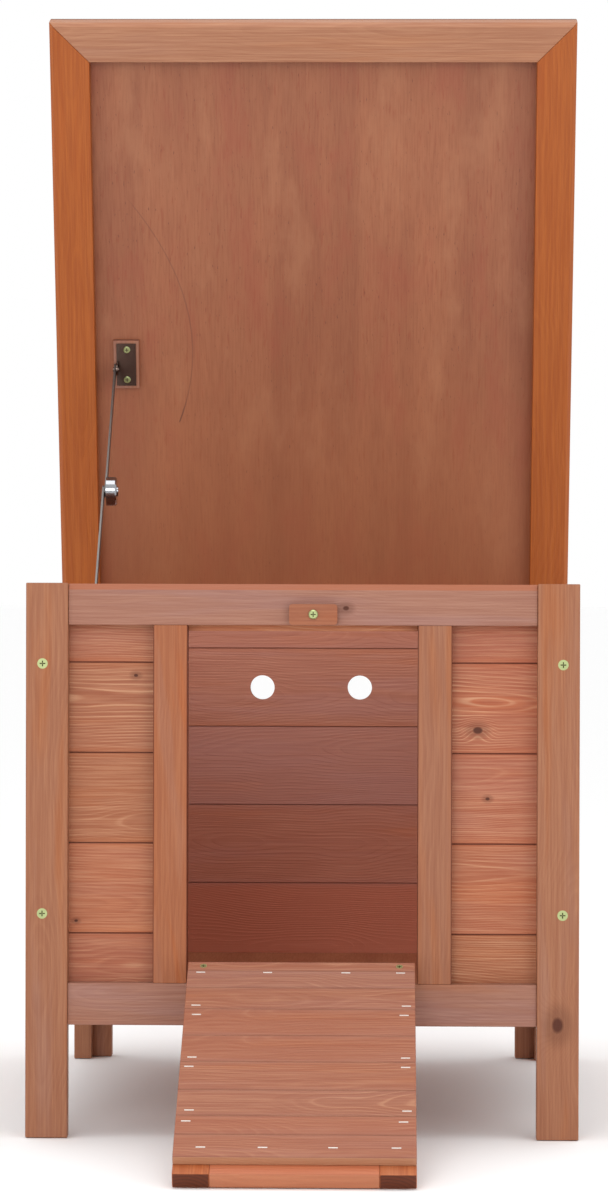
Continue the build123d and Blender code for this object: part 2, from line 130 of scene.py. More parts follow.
# Gains that turn a wood's own colour into the tones of its figure
WOOD_PALE = (1.30, 1.48, 1.50)
WOOD_DARK = (0.70, 0.55, 0.50)
WOOD_MAUVE = (0.98, 1.12, 1.42)
WOOD_ORANGE = (1.08, 0.86, 0.56)
WOOD_WARM = (1.04, 0.82, 0.74)
WOOD_END = (1.0, 0.72, 0.62)
PLY_PALE = (1.26, 1.30, 1.28)
PLY_DARK = (0.66, 0.54, 0.50)
METAL_DULL = (0.62, 0.62, 0.62)
END_RING = 0.55

SEAM_STAIN = rgb(92, 38, 24)
KNOT_CORE = rgb(84, 40, 22)
# painted light on faces that look forward
FRONT_GLINT = rgb(226, 172, 128)
PLY_PORE = rgb(92, 46, 30)
PLY_DASH = rgb(140, 66, 38)
PLY_BLOTCH = rgb(150, 74, 50)
PLY_SMUDGE = rgb(170, 112, 78)
SCUFF_STAIN = rgb(88, 50, 38)
# painted shade for the hollows of metal parts
RECESS_SHADE = rgb(46, 36, 18)
FELT_DARK = rgb(38, 52, 44)
FELT_LIGHT = rgb(96, 116, 98)
FELT_FLECK = rgb(148, 158, 140)
FELT_CLOUD = rgb(34, 44, 38)

# ---------------------------------------------------------------- figure of the wood
WOOD_SPECULAR = 0.28
WOOD_GLOSS = 0.52
# Shift of the noise from one grouped board to the next, and the range of its start
BOARD_SHIFT = 17.0
SEED_RANGE = 40
# The pith behind a board: its depth, how far it swings to a side, and how fast
PITH_DEPTH = 0.020
PITH_SWING = 0.024
PITH_TURN = 2.1
RIPPLE_PULL = 0.0036
# Knots: how much shorter the rings run along the grain, and how hard they are pulled
KNOT_STRETCH = 0.72
KNOT_PULL = 4.0
PIN_HOLE = 0.0024
# The part of each ring, from 0 to 1, that late and early wood rises and falls over
LATE_RISE = (0.30, 0.86)
LATE_FALL = (0.88, 1.0)
EARLY_RISE = (0.00, 0.12)
EARLY_FALL = (0.14, 0.36)
# Noise per metre, along and across the grain
WANDER_SCALE = (2.6, 5.0)
RIPPLE_SCALE = (9.0, 40.0)
FIBRE_SCALE = (14.0, 620.0)
CLOUD_SCALE = (5.0, 17.0)
HAZE_SCALE = (3.2, 30.0)
PLY_STREAK_SCALE = (1.7, 34.0)
PLY_CLOUD_SCALE = (2.4, 6.0)
PLY_FIBRE_SCALE = (34.0, 560.0)
PLY_PORE_SCALE = (150.0, 640.0)
PLY_DASH_SCALE = (46.0, 300.0)
PLY_BLOTCH_SCALE = (7.0, 19.0)
METAL_GRAIN = 900.0
FELT_GRIT = 1400.0
FELT_FLECKS = 560.0
FELT_CLOUDS = 7.0


# ---------------------------------------------------------------- materials
class Shade:
    """A material under construction: each method adds a node and returns its output."""

    def __init__(self, name):
        self.material = bpy.data.materials.new(name)
        self.material.use_nodes = True
        self.tree = self.material.node_tree
        self.tree.nodes.clear()
        self.output = self.node("ShaderNodeOutputMaterial")
        self.surface = self.node("ShaderNodeBsdfPrincipled")
        self.tree.links.new(self.surface.outputs[0], self.output.inputs["Surface"])

    def node(self, kind, **settings):
        made = self.tree.nodes.new(kind)
        for key, value in settings.items():
            setattr(made, key, value)
        return made

    def put(self, socket, value):
        if isinstance(value, bpy.types.NodeSocket):
            self.tree.links.new(value, socket)
        else:
            socket.default_value = value

    def math(self, operation, *values):
        made = self.node("ShaderNodeMath", operation=operation)
        for socket, value in zip(made.inputs, values):
            self.put(socket, value)
        return made.outputs[0]

    def vector(self, operation, first, second):
        made = self.node("ShaderNodeVectorMath", operation=operation)
        self.put(made.inputs[0], first)
        self.put(made.inputs[1], second)
        return made.outputs[1] if operation == "DOT_PRODUCT" else made.outputs[0]

    def split(self, vector):
        made = self.node("ShaderNodeSeparateXYZ")
        self.put(made.inputs[0], vector)
        return made.outputs

    def join(self, x, y, z):
        made = self.node("ShaderNodeCombineXYZ")
        for socket, value in zip(made.inputs, (x, y, z)):
            self.put(socket, value)
        return made.outputs[0]

    def attribute(self, name, output="Fac"):
        return self.node("ShaderNodeAttribute", attribute_name=name).outputs[output]

    def distance(self, first, second):
        """The length of the hypotenuse over two sides."""
        squares = self.math(
            "ADD", self.math("POWER", first, 2.0), self.math("POWER", second, 2.0)
        )
        return self.math("SQRT", squares)

    def stretched(self, along, across, scales, third, shift=0.0):
        """A place to read a noise at, scaled along and across the grain."""
        return self.join(
            self.math("MULTIPLY_ADD", along, scales[0], shift),
            self.math("MULTIPLY", across, scales[1]),
            third,
        )

    def noise(self, vector, scale, detail=3.0, roughness=0.5):
        made = self.node("ShaderNodeTexNoise")
        self.put(made.inputs["Vector"], vector)
        self.put(made.inputs["Scale"], scale)
        self.put(made.inputs["Detail"], detail)
        self.put(made.inputs["Roughness"], roughness)
        return made.outputs[0]

    def span(self, value, low, high, out_low=0.0, out_high=1.0):
        """A smooth step from out_low to out_high while the value goes from low to high."""
        made = self.node("ShaderNodeMapRange", interpolation_type="SMOOTHSTEP")
        for socket, setting in zip(made.inputs, (value, low, high, out_low, out_high)):
            self.put(socket, setting)
        return made.outputs[0]

    def mix(self, amount, first, second):
        made = self.node("ShaderNodeMix", data_type="RGBA")
        self.put(made.inputs[0], amount)
        self.put(made.inputs[6], first)
        self.put(made.inputs[7], second)
        return made.outputs[2]

    def layer(self, tone, color, field, low, high, amount):
        """The tone with a colour over it: none where the field is low, amount where high."""
        return self.mix(self.span(field, low, high, 0.0, amount), tone, color)

    def bump(self, height, distance, strength):
        made = self.node("ShaderNodeBump")
        made.inputs["Strength"].default_value = strength
        made.inputs["Distance"].default_value = distance
        self.put(made.inputs["Height"], height)
        self.put(self.surface.inputs["Normal"], made.outputs[0])

    def untilted(self, tilt):
        """The object's own coordinates and normal, turned back level about a hinge line."""
        pivot, angle = TILTS[tilt]
        source = self.node("ShaderNodeTexCoord")
        turned = []
        for output, origin in (("Object", pivot), ("Normal", Vector())):
            mapping = self.node("ShaderNodeMapping", vector_type="POINT")
            offset = self.vector("SUBTRACT", source.outputs[output], origin)
            self.put(mapping.inputs["Vector"], offset)
            mapping.inputs["Rotation"].default_value = (-angle, 0, 0)
            turned.append(mapping.outputs[0])
        return turned


def by_grain(parts, axes):
    """The parts of a vector along the grain, across it and into the board."""
    return [parts["XYZ".index(axis)] for axis in axes]


def wood(name, color, axes, middle, tilt="level", figure=1.0, spacing=0.0032, light=None,
         knots=(), grouped=False, end_tone=0.55, half=None, top_painted_light=None, seam=0.8,
         front_painted_light=0.0, drifting=0.6, slant=0.0, bowed=0.052):
    """Stained softwood. axes names the directions along the grain, across and into the board."""
    shade = Shade(name)
    shade.surface.inputs["Specular IOR Level"].default_value = WOOD_SPECULAR
    place, normal = shade.untilted(tilt)
    board = 0.0
    if grouped:
        middle = shade.attribute("middle", "Vector")
        board = shade.attribute("board")
        half = shade.attribute("half")
    parts = shade.split(shade.vector("SUBTRACT", place, middle))
    along, across, deep = by_grain(parts, axes)
    drift = shade.math("MULTIPLY_ADD", board, BOARD_SHIFT, random.uniform(0, SEED_RANGE))

    # growth rings about a pith behind the board, which wander along the grain
    wander = shade.stretched(along, across, WANDER_SCALE, drift, drift)
    bend = shade.math("SUBTRACT", shade.noise(wander, 1.6, 2.0), 0.5)
    fine_wander = shade.stretched(along, across, RIPPLE_SCALE, drift)
    ripple = shade.math("SUBTRACT", shade.noise(fine_wander, 1.0, 2.0), 0.5)
    swing = shade.math("SINE", shade.math("MULTIPLY", drift, PITH_TURN))
    pith_side = shade.math("MULTIPLY_ADD", swing, PITH_SWING, across)
    radius = shade.distance(pith_side, shade.math("ADD", deep, PITH_DEPTH))
    radius = shade.math("MULTIPLY_ADD", bend, bowed, radius)
    radius = shade.math("MULTIPLY_ADD", ripple, RIPPLE_PULL, radius)

    # knots pull the rings about them and are dark, with a fainter halo
    knot_dark = 0.0
    for knot_along, knot_across, size in knots:
        reach = shade.distance(
            shade.math("MULTIPLY_ADD", along, KNOT_STRETCH, -KNOT_STRETCH * knot_along),
            shade.math("SUBTRACT", across, knot_across),
        )
        reach = shade.math("MULTIPLY_ADD", ripple, size * 0.5, reach)
        pull = shade.span(reach, 0.0, size * 3.5, 1.0, 0.0)
        strength = KNOT_PULL * max(0.0, size - PIN_HOLE)
        radius = shade.math("MULTIPLY_ADD", pull, strength, radius)
        core = shade.span(reach, size * 0.45, size, 1.0, 0.0)
        halo = shade.span(reach, size, size * 2.4, 0.35, 0.0)
        knot_dark = shade.math("MAXIMUM", knot_dark, shade.math("MAXIMUM", core, halo))

    ring = shade.math("FRACT", shade.math("DIVIDE", radius, spacing))
    late, early = (
        shade.math("MULTIPLY", shade.span(ring, *rise), shade.span(ring, *fall, 1.0, 0.0))
        for rise, fall in ((LATE_RISE, LATE_FALL), (EARLY_RISE, EARLY_FALL))
    )

    # fibres, slow stain clouds and haze that leans with the board
    fibre_deep = shade.math("MULTIPLY", deep, FIBRE_SCALE[1])
    fibre_place = shade.stretched(along, across, FIBRE_SCALE, fibre_deep, drift)
    fibre = shade.noise(fibre_place, 1.0, 4.0, 0.62)
    cloud = shade.noise(shade.stretched(along, across, CLOUD_SCALE, drift, drift), 1.0, 3.0, 0.55)
    patchy = shade.span(shade.noise(wander, 3.1, 2.0), 0.36, 0.66)
    leaning = shade.math("MULTIPLY_ADD", along, slant, across)
    haze_place = shade.join(
        shade.math("MULTIPLY_ADD", along, HAZE_SCALE[0], drift),
        shade.math("MULTIPLY_ADD", leaning, HAZE_SCALE[1], 9.0),
        drift,
    )
    haze = shade.noise(haze_place, 1.0, 3.0, 0.6)

    pale = light or tinted(color, WOOD_PALE)
    dark = tinted(color, WOOD_DARK)
    mauve = tinted(color, WOOD_MAUVE)
    orange = tinted(color, WOOD_ORANGE)
    tone = shade.mix(shade.span(cloud, 0.30, 0.70), color, shade.mix(0.16, color, dark))
    tone = shade.layer(tone, mauve, haze, 0.52, 0.68, drifting)
    tone = shade.layer(tone, orange, haze, 0.46, 0.32, drifting)
    early_amount = shade.math("MULTIPLY", shade.math("MULTIPLY", early, patchy), 0.72 * figure)
    tone = shade.mix(early_amount, tone, pale)
    tone = shade.mix(shade.math("MULTIPLY", late, 0.42 * figure), tone, dark)
    tone = shade.layer(tone, dark, fibre, 0.30, 0.74, 0.38)
    tone = shade.layer(tone, pale, fibre, 0.60, 0.30, 0.26)
    if grouped:
        warm = tinted(color, WOOD_WARM)
        tone = shade.mix(shade.math("MULTIPLY", board, 0.50), tone, warm)
        tone = shade.mix(shade.span(board, 0.0, 0.4, 0.45, 0.0), tone, mauve)

    # a change of tone near the long edges, and the dark line of the seam
    if half is not None:
        inset = shade.math("SUBTRACT", half, shade.math("ABSOLUTE", across))
        edge_tone, edge_amount = (mauve, 0.2) if grouped else (orange, 0.3)
        tone = shade.mix(shade.span(inset, 0.001, 0.007, edge_amount, 0.0), tone, edge_tone)
        tone = shade.mix(shade.span(inset, 0.0002, 0.0015, seam, 0.0), tone, SEAM_STAIN)
    # painted light: faces that look forward across the grain are lightened toward a pale glint
    # colour, for the frontal light on them
    if front_painted_light:
        forward = shade.math("MULTIPLY", by_grain(shade.split(normal), axes)[1], -1.0)
        tone = shade.layer(tone, FRONT_GLINT, forward, 0.6, 0.9, front_painted_light)
    # painted light: faces that look up are tinted toward the orange that light from above gives the
    # rail's top bevel
    if top_painted_light is not None:
        tone = shade.layer(tone, top_painted_light, shade.split(normal)["Z"], 0.2, 0.6, 0.8)
    tone = shade.mix(knot_dark, tone, KNOT_CORE)

    # end grain with its rings
    grain_axis = shade.join(*(float(axis == axes[0]) for axis in "XYZ"))
    facing_end = shade.math("ABSOLUTE", shade.vector("DOT_PRODUCT", normal, grain_axis))
    end_color = tinted(color, [end_tone * gain for gain in WOOD_END])
    end_ring = tinted(end_color, (END_RING, END_RING, END_RING))
    end_mix = shade.mix(shade.math("MULTIPLY", late, 0.6), end_color, end_ring)
    tone = shade.mix(shade.span(facing_end, 0.75, 0.97), tone, end_mix)

    shade.put(shade.surface.inputs["Base Color"], tone)
    rough = shade.math("MULTIPLY_ADD", fibre, 0.20, WOOD_GLOSS - 0.10)
    rough = shade.math("MULTIPLY_ADD", late, -0.07, rough)
    shade.put(shade.surface.inputs["Roughness"], rough)
    height = shade.math("MULTIPLY_ADD", late, 0.35, fibre)
    height = shade.math("MULTIPLY_ADD", knot_dark, -0.6, height)
    shade.bump(height, 0.00045, 0.55)
    return shade.material


def plywood(name, color, axes, tilt="level"):
    """Rotary-cut plywood: long faint streaks, clouds, dashes and short dark pores."""
    shade = Shade(name)
    along, across, deep = by_grain(shade.split(shade.untilted(tilt)[0]), axes)

    def field(scales, third, detail, roughness=0.5):
        return shade.noise(shade.stretched(along, across, scales, third), 1.0, detail, roughness)

    streak = field(PLY_STREAK_SCALE, 2.0, 5.0, 0.6)
    cloud = field(PLY_CLOUD_SCALE, 7.0, 4.0, 0.6)
    fibre = field(PLY_FIBRE_SCALE, deep, 3.0)
    pores = shade.span(field(PLY_PORE_SCALE, 4.0, 2.0), 0.66, 0.74)
    dashes = field(PLY_DASH_SCALE, 11.0, 2.0)
    blotch = field(PLY_BLOTCH_SCALE, 23.0, 5.0, 0.62)
    dark = tinted(color, PLY_DARK)
    pale = tinted(color, PLY_PALE)
    tone = shade.layer(color, dark, streak, 0.34, 0.70, 0.52)
    tone = shade.layer(tone, pale, cloud, 0.42, 0.72, 0.55)
    tone = shade.layer(tone, dark, fibre, 0.38, 0.72, 0.42)
    tone = shade.mix(shade.math("MULTIPLY", pores, 0.65), tone, PLY_PORE)
    tone = shade.layer(tone, PLY_DASH, dashes, 0.58, 0.72, 0.45)
    tone = shade.layer(tone, PLY_BLOTCH, blotch, 0.50, 0.68, 0.45)
    tone = shade.layer(tone, PLY_SMUDGE, blotch, 0.48, 0.32, 0.40)
    if tilt == "roof":
        tone = shade.layer(tone, pale, along, -0.36, -0.06, 0.42)
        tone = shade.mix(scratch(shade, along, across), tone, SCUFF_STAIN)
    shade.put(shade.surface.inputs["Base Color"], tone)
    rough = shade.math("MULTIPLY_ADD", fibre, 0.18, 0.42)
    shade.put(shade.surface.inputs["Roughness"], rough)
    shade.bump(shade.math("MULTIPLY_ADD", pores, -0.8, fibre), 0.00025, 0.45)
    return shade.material


def scratch(shade, along, across):
    """A faint curved scuff on the underside of the roof, bowed towards the middle."""
    from_bow = shade.math("ADD", along, SCUFF_BOW_AT)
    bow = shade.math("POWER", from_bow, 2.0)
    centre = shade.math("MULTIPLY_ADD", bow, -SCUFF_CURVE, SCUFF_X)
    away = shade.math("ABSOLUTE", shade.math("SUBTRACT", across, centre))
    line = shade.span(away, *SCUFF_LINE, 1.0, 0.0)
    start = shade.span(along, -SCUFF_FAR, 0.02 - SCUFF_FAR)
    stop = shade.span(along, -SCUFF_NEAR - 0.003, -SCUFF_NEAR, 1.0, 0.0)
    strength = shade.span(along, -0.03 - SCUFF_NEAR, -0.01 - SCUFF_NEAR, 0.34, 0.75)
    ends = shade.math("MULTIPLY", start, stop)
    return shade.math("MULTIPLY", shade.math("MULTIPLY", line, strength), ends)


def metal(name, color, roughness, spots=0.25, metallic=1.0, recess=0.0):
    """Plated steel with fine wear, slightly uneven gloss, and painted shade in its hollows when
    recess is set.
    """
    shade = Shade(name)
    source = shade.node("ShaderNodeTexCoord").outputs["Object"]
    fine = shade.noise(source, METAL_GRAIN, 3.0)
    broad = shade.noise(source, METAL_GRAIN * 0.12, 4.0)
    tone = shade.layer(color, tinted(color, METAL_DULL), broad, 0.42, 0.72, spots)
    # painted shade: where ambient occlusion finds a hollow within the recess distance, such as a
    # screw's cross and the ring about its head, the colour darkens nearly to black
    if recess:
        hollow = shade.node("ShaderNodeAmbientOcclusion", samples=6)
        hollow.inputs["Distance"].default_value = recess
        recess_shade = shade.span(hollow.outputs["AO"], 0.62, 0.95, 0.98, 0.0)
        tone = shade.mix(recess_shade, tone, RECESS_SHADE)
    shade.put(shade.surface.inputs["Base Color"], tone)
    shade.surface.inputs["Metallic"].default_value = metallic
    rough = shade.math("MULTIPLY_ADD", fine, 0.16, roughness - 0.08)
    shade.put(shade.surface.inputs["Roughness"], rough)
    shade.bump(fine, 0.00006, 0.4)
    return shade.material


def felt(name):
    """Green mineral roofing felt with a coarse grit."""
    shade = Shade(name)
    source = shade.node("ShaderNodeTexCoord").outputs["Object"]
    grit = shade.noise(source, FELT_GRIT, 2.0, 0.7)
    fleck = shade.noise(source, FELT_FLECKS, 1.0)
    cloud = shade.noise(source, FELT_CLOUDS, 4.0)
    tone = shade.mix(shade.span(grit, 0.35, 0.68), FELT_DARK, FELT_LIGHT)
    tone = shade.layer(tone, FELT_FLECK, fleck, 0.60, 0.70, 0.55)
    tone = shade.layer(tone, FELT_CLOUD, cloud, 0.40, 0.70, 0.30)
    shade.put(shade.surface.inputs["Base Color"], tone)
    rough = shade.math("MULTIPLY_ADD", grit, 0.15, 0.82)
    shade.put(shade.surface.inputs["Roughness"], rough)
    shade.bump(grit, 0.0012, 0.9)
    return shade.material


# ---------------------------------------------------------------- boards
def levelled(point, tilt):
    """A point of the object turned back level about its hinge line."""
    pivot, angle = TILTS[tilt]
    return Matrix.Rotation(-angle, 3, "X") @ (Vector(point) - pivot)


def box_middle(points):
    """The middle of the box around some points."""
    return [(min(p[i] for p in points) + max(p[i] for p in points)) / 2 for i in range(3)]


def node_points(node, tilt):
    """The points of a CAD node, turned back level."""
    return [levelled(vertex.co, tilt) for vertex in nodes[node].data.vertices]


def middle_of(node, tilt="level"):
    """The middle of a node's box, measured where its boards lie level."""
    return box_middle(node_points(node, tilt))


def half_of(node, axis):
    """Half of a level board's size along an axis."""
    low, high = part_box(node)
    return (high[axis] - low[axis]) / 2


def set_material(piece, material):
    """Give a piece one material and no other."""
    piece.data.materials.clear()
    piece.data.materials.append(material)


def eased(piece):
    """Clean shading over the small rounded edges."""
    normals = piece.modifiers.new("normals", "WEIGHTED_NORMAL")
    normals.keep_sharp = False
    normals.weight = 90


def kept(node, material):
    """A CAD board that stays, with its edges rounded by modifiers."""
    piece = nodes[node]
    set_material(piece, material)
    weld = piece.modifiers.new("weld", "WELD")
    weld.merge_threshold = WELD_GAP
    bevel = piece.modifiers.new("edges", "BEVEL")
    bevel.width = EDGE_ROUND
    bevel.segments = EDGE_SEGMENTS
    bevel.limit_method = "ANGLE"
    bevel.angle_limit = EDGE_ANGLE
    eased(piece)


def rebuilt(node, body, material, tilt="level", axis=2, cuts=(), values=None):
    """Boards copied from a drilled or grouped CAD node, each with its own rounded edges."""
    source = nodes[node].data
    boards = {}
    for face in source.polygons:
        inside = levelled(face.center - face.normal * JUST_INSIDE, tilt)
        boards.setdefault(bisect(cuts, inside[axis]), []).append(face)
    vertices, faces, numbers, middles, halves = [], [], [], [], []
    for order, number in enumerate(sorted(boards)):
        build = bmesh.new()
        made = {}
        for face in boards[number]:
            corners = []
            for index in face.vertices:
                if index not in made:
                    made[index] = build.verts.new(source.vertices[index].co)
                corners.append(made[index])
            if build.faces.get(corners) is None:
                build.faces.new(corners)
        bmesh.ops.remove_doubles(build, verts=build.verts, dist=SAME_POINT)
        bmesh.ops.dissolve_limit(
            build, angle_limit=FLAT_ANGLE, verts=build.verts, edges=build.edges
        )
        corners = [
            edge for edge in build.edges
            if len(edge.link_faces) == 2
            and edge.calc_length() > LONG_EDGE
            and edge.calc_face_angle(0.0) > EDGE_ANGLE
        ]
        bmesh.ops.bevel(
            build, geom=corners, offset=EDGE_ROUND, segments=EDGE_SEGMENTS, profile=0.5,
            affect="EDGES", clamp_overlap=True,
        )
        points = [levelled(vertex.co, tilt) for vertex in build.verts]
        middle = box_middle(points)
        value = values[order] if values else random.random()
        halves += [max(p[axis] for p in points) - middle[axis]] * len(build.verts)
        build.verts.index_update()
        start = len(vertices)
        vertices += [vertex.co.copy() for vertex in build.verts]
        faces += [[start + vertex.index for vertex in face.verts] for face in build.faces]
        numbers += [value] * len(build.verts)
        middles += [middle] * len(build.verts)
        build.free()
    mesh = bpy.data.meshes.new(f"{node}_boards")
    mesh.from_pydata(vertices, [], faces)
    mesh.attributes.new("board", "FLOAT", "POINT").data.foreach_set("value", numbers)
    mesh.attributes.new("half", "FLOAT", "POINT").data.foreach_set("value", halves)
    mesh.attributes.new("middle", "FLOAT_VECTOR", "POINT").data.foreach_set(
        "vector", [value for middle in middles for value in middle]
    )
    mesh.shade_smooth()
    piece = bpy.data.objects.new(f"{node}_boards", mesh)
    bpy.context.scene.collection.objects.link(piece)
    set_material(piece, material)
    eased(piece)
    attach(piece, body)
    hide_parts(node)


POST = rgb(157, 103, 74)
RAIL = rgb(158, 110, 91)
STILE = {"left": rgb(161, 98, 64), "right": rgb(156, 103, 76)}
PLANK = rgb(170, 103, 73)
BACK = rgb(190, 125, 102)
ROOF_FRONT = rgb(171, 119, 90)
ROOF_STILE = rgb(167, 88, 35)
PLY = rgb(156, 94, 62)
RAMP = rgb(159, 103, 80)
DOOR_STOP = rgb(184, 112, 74)
BATTEN = rgb(178, 102, 62)
CROSS_BATTEN = rgb(188, 114, 80)
CREAM = rgb(210, 160, 124)
# painted light on the top rail's upward bevel
TOP_BEVEL_LIGHT = rgb(160, 88, 54)
BUTTON = rgb(156, 96, 68)
STILE_DRIFT = {"left": 1.3, "right": 0.8}
STILE_SLANT = {"left": 0.14, "right": 0.03}
PLANK_FIGURE = {"left": (0.8, 0.6, 0.45, 1.0, 0.7), "right": (0.9, 0.6, 0.6, 0.9, 0.6)}
PLANK_SHADES = (0.94, 1.06)
PLANK_RINGS = (0.0019, 0.0027)
# Knots as the place along the grain and across it, and the size, from the board's middle
PLANK_KNOTS = {
    ("left", 4): [(0.012, 0.029, 0.0024)],
    ("left", 1): [(0.004, -0.012, 0.0042)],
    ("left", 2): [(-0.042, -0.030, 0.0018)],
    ("right", 4): [(-0.005, -0.020, 0.0044)],
    ("right", 3): [(0.004, 0.000, 0.0022)],
}
TOP_RAIL_KNOTS = [(0.039, -0.003, 0.0034)]
POST_KNOT_HEIGHT = 0.104
POST_KNOT_SIZE = 0.008
# How dark each grouped board is: the back's from the bottom up, the ramp's from its lower end
BACK_SHADES = (2.0, 0.55, 0.0, 0.3)
RAMP_SHADES = (0.7, 0.9, 0.3, 0.5, 0.8, 0.8, 0.4, 0.15, 0.65)

# ---------------------------------------------------------------- the body
for side in ("left", "right"):
    for row in ("front", "back"):
        name = f"{row}_post_{side}"
        middle = middle_of(name)
        knotted = (side, row) == ("right", "front")
        knots = [(POST_KNOT_HEIGHT - middle[2], 0.0, POST_KNOT_SIZE)] if knotted else []
        rebuilt(name, "body", wood(
            name, POST, "ZXY", middle, figure=0.34, spacing=0.0030, knots=knots, drifting=0.9,
        ))
        name = f"side_post_{row}_{side}"
        rebuilt(name, "body", wood(
            name, POST, "ZYX", middle_of(name), figure=0.34, spacing=0.0030,
        ))
    for name in (f"side_top_rail_{side}", f"side_bottom_rail_{side}"):
        kept(name, wood(name, RAIL, "YZX", middle_of(name), figure=0.28, spacing=0.0026))
    name = f"door_stile_{side}"
    kept(name, wood(
        name, STILE[side], "ZXY", middle_of(name), figure=0.42, spacing=0.0033,
        half=half_of(name, 0), drifting=STILE_DRIFT[side], slant=STILE_SLANT[side],
    ))
    for number, figure in enumerate(PLANK_FIGURE[side], 1):
        name = f"front_plank_{side}_{number}"
        shades = [random.uniform(*PLANK_SHADES) for _ in range(3)]
        kept(name, wood(
            name, tinted(PLANK, shades), "XZY", middle_of(name), figure=figure, light=CREAM,
            spacing=random.uniform(*PLANK_RINGS), half=half_of(name, 2),
            knots=PLANK_KNOTS.get((side, number), ()), bowed=0.034,
        ))
    name = f"side_planks_{side}"
    material = wood(name, PLANK, "YZX", None, light=CREAM, grouped=True)
    rebuilt(name, "body", material, cuts=PLANK_SEAMS)

rebuilt("front_top_rail", "body", wood(
    "front_top_rail", RAIL, "XZY", middle_of("front_top_rail"), figure=0.26, spacing=0.0026,
    top_painted_light=TOP_BEVEL_LIGHT, knots=TOP_RAIL_KNOTS,
))
kept("back_top_rail", wood(
    "back_top_rail", DOOR_STOP, "XZY", middle_of("back_top_rail"), figure=0.8, spacing=0.0050,
    light=CREAM,
))
for name in ("front_bottom_rail", "back_bottom_rail"):
    kept(name, wood(name, RAIL, "XZY", middle_of(name), figure=0.28, spacing=0.0026))
kept("door_stop", wood(
    "door_stop", DOOR_STOP, "XZY", middle_of("door_stop"), figure=0.8, light=CREAM,
))
material = wood(
    "back_planks", BACK, "XZY", None, figure=0.34, spacing=0.0024, grouped=True, seam=0.5,
)
rebuilt("back_planks", "body", material, cuts=PLANK_SEAMS, values=BACK_SHADES)
rebuilt("back_plank_vented", "body", wood(
    "back_plank_vented", BACK, "XZY", middle_of("back_plank_vented"), figure=0.26,
    spacing=0.0024, half=half_of("back_plank_vented", 2), seam=0.5,
))
kept("floor_panel", plywood("floor_panel", PLY, "YXZ"))

# ---------------------------------------------------------------- the roof
for name, color, axes in (
    ("roof_rail_front", ROOF_FRONT, "XYZ"),
    ("roof_rail_back", ROOF_STILE, "XYZ"),
    ("roof_rail_left", ROOF_STILE, "YXZ"),
    ("roof_rail_right", ROOF_STILE, "YXZ"),
):
    kept(name, wood(
        name, color, axes, middle_of(name, "roof"), tilt="roof", figure=0.34, spacing=0.0048,
        drifting=0.3,
    ))
kept("roof_panel", plywood("roof_panel", PLY, "YXZ", tilt="roof"))
kept("roof_felt", felt("roof_felt"))
kept("stay_block", wood(
    "stay_block", RAIL, "YXZ", middle_of("stay_block", "roof"), tilt="roof", figure=0.5,
))

# ---------------------------------------------------------------- the ramp and the button
ramp_seams = []
reach = RAMP_START
for width in RAMP_PLANKS[:-1]:
    reach += width
    ramp_seams.append(-reach)
material = wood(
    "ramp_planks", RAMP, "XYZ", None, tilt="ramp", figure=0.6, spacing=0.0026, light=CREAM,
    grouped=True, seam=0.45, front_painted_light=0.35,
)
rebuilt("ramp_planks", "ramp", material, tilt="ramp", axis=1,
        cuts=sorted(ramp_seams), values=RAMP_SHADES)
for side in ("left", "right"):
    name = f"ramp_batten_{side}"
    material = wood(
        name, BATTEN, "YXZ", middle_of(name, "ramp"), tilt="ramp", figure=0.5, end_tone=0.27,
    )
    rebuilt(name, "ramp", material, tilt="ramp")
material = wood(
    "ramp_cross_battens", CROSS_BATTEN, "XYZ", None, tilt="ramp", figure=0.5, grouped=True,
    seam=0.2, front_painted_light=0.14,
)
rebuilt("ramp_cross_battens", "ramp", material, tilt="ramp", axis=1,
        cuts=(CROSS_BATTEN_SPLIT,))
rebuilt("turn_button", "button", wood(
    "turn_button", BUTTON, "XZY", middle_of("turn_button"), figure=0.25, spacing=0.0024,
))

# ---------------------------------------------------------------- metal
steel = metal("zinc_steel", rgb(122, 120, 118), 0.42)
for name in (
    "roof_hinge_body_leaves", "roof_hinge_roof_leaves", "ramp_hinge_body_leaves",
    "ramp_hinge_ramp_leaves", "hinge_pins", "stay_wall_bracket", "stay_lower_arm",
    "stay_upper_arm",
):
    set_material(nodes[name], steel)
set_material(nodes["stay_roof_bracket"], metal("bracket_steel", rgb(104, 88, 80), 0.22))
set_material(nodes["stay_knob"], metal("chrome", rgb(158, 160, 164), 0.15, spots=0.1))
set_material(nodes["ramp_staples"], metal(
    "staple_steel", rgb(236, 232, 226), 0.42, spots=0.1, metallic=0.35,
))
zinc = metal("yellow_zinc", rgb(176, 186, 132), 0.32, recess=0.0040)
for name in ("body_screws", "roof_screws", "ramp_screws"):
    set_material(nodes[name], zinc)


# ---------------------------------------------------------------- screws of the hinges
def ring_of(build, radius, height):
    """A circle of vertices about Z at a height."""
    turns = [2 * math.pi * step / HEAD_SIDES for step in range(HEAD_SIDES)]
    return [build.verts.new((radius * math.cos(t), radius * math.sin(t), height)) for t in turns]


def around(loop):
    """Each vertex of a loop with the one after it."""
    return list(zip(loop, loop[1:] + loop[:1]))


def skirt(build, low, high):
    """A band of four-cornered faces between two loops."""
    for (low_one, low_two), (high_one, high_two) in zip(around(low), around(high)):
        build.faces.new((low_one, low_two, high_two, high_one))


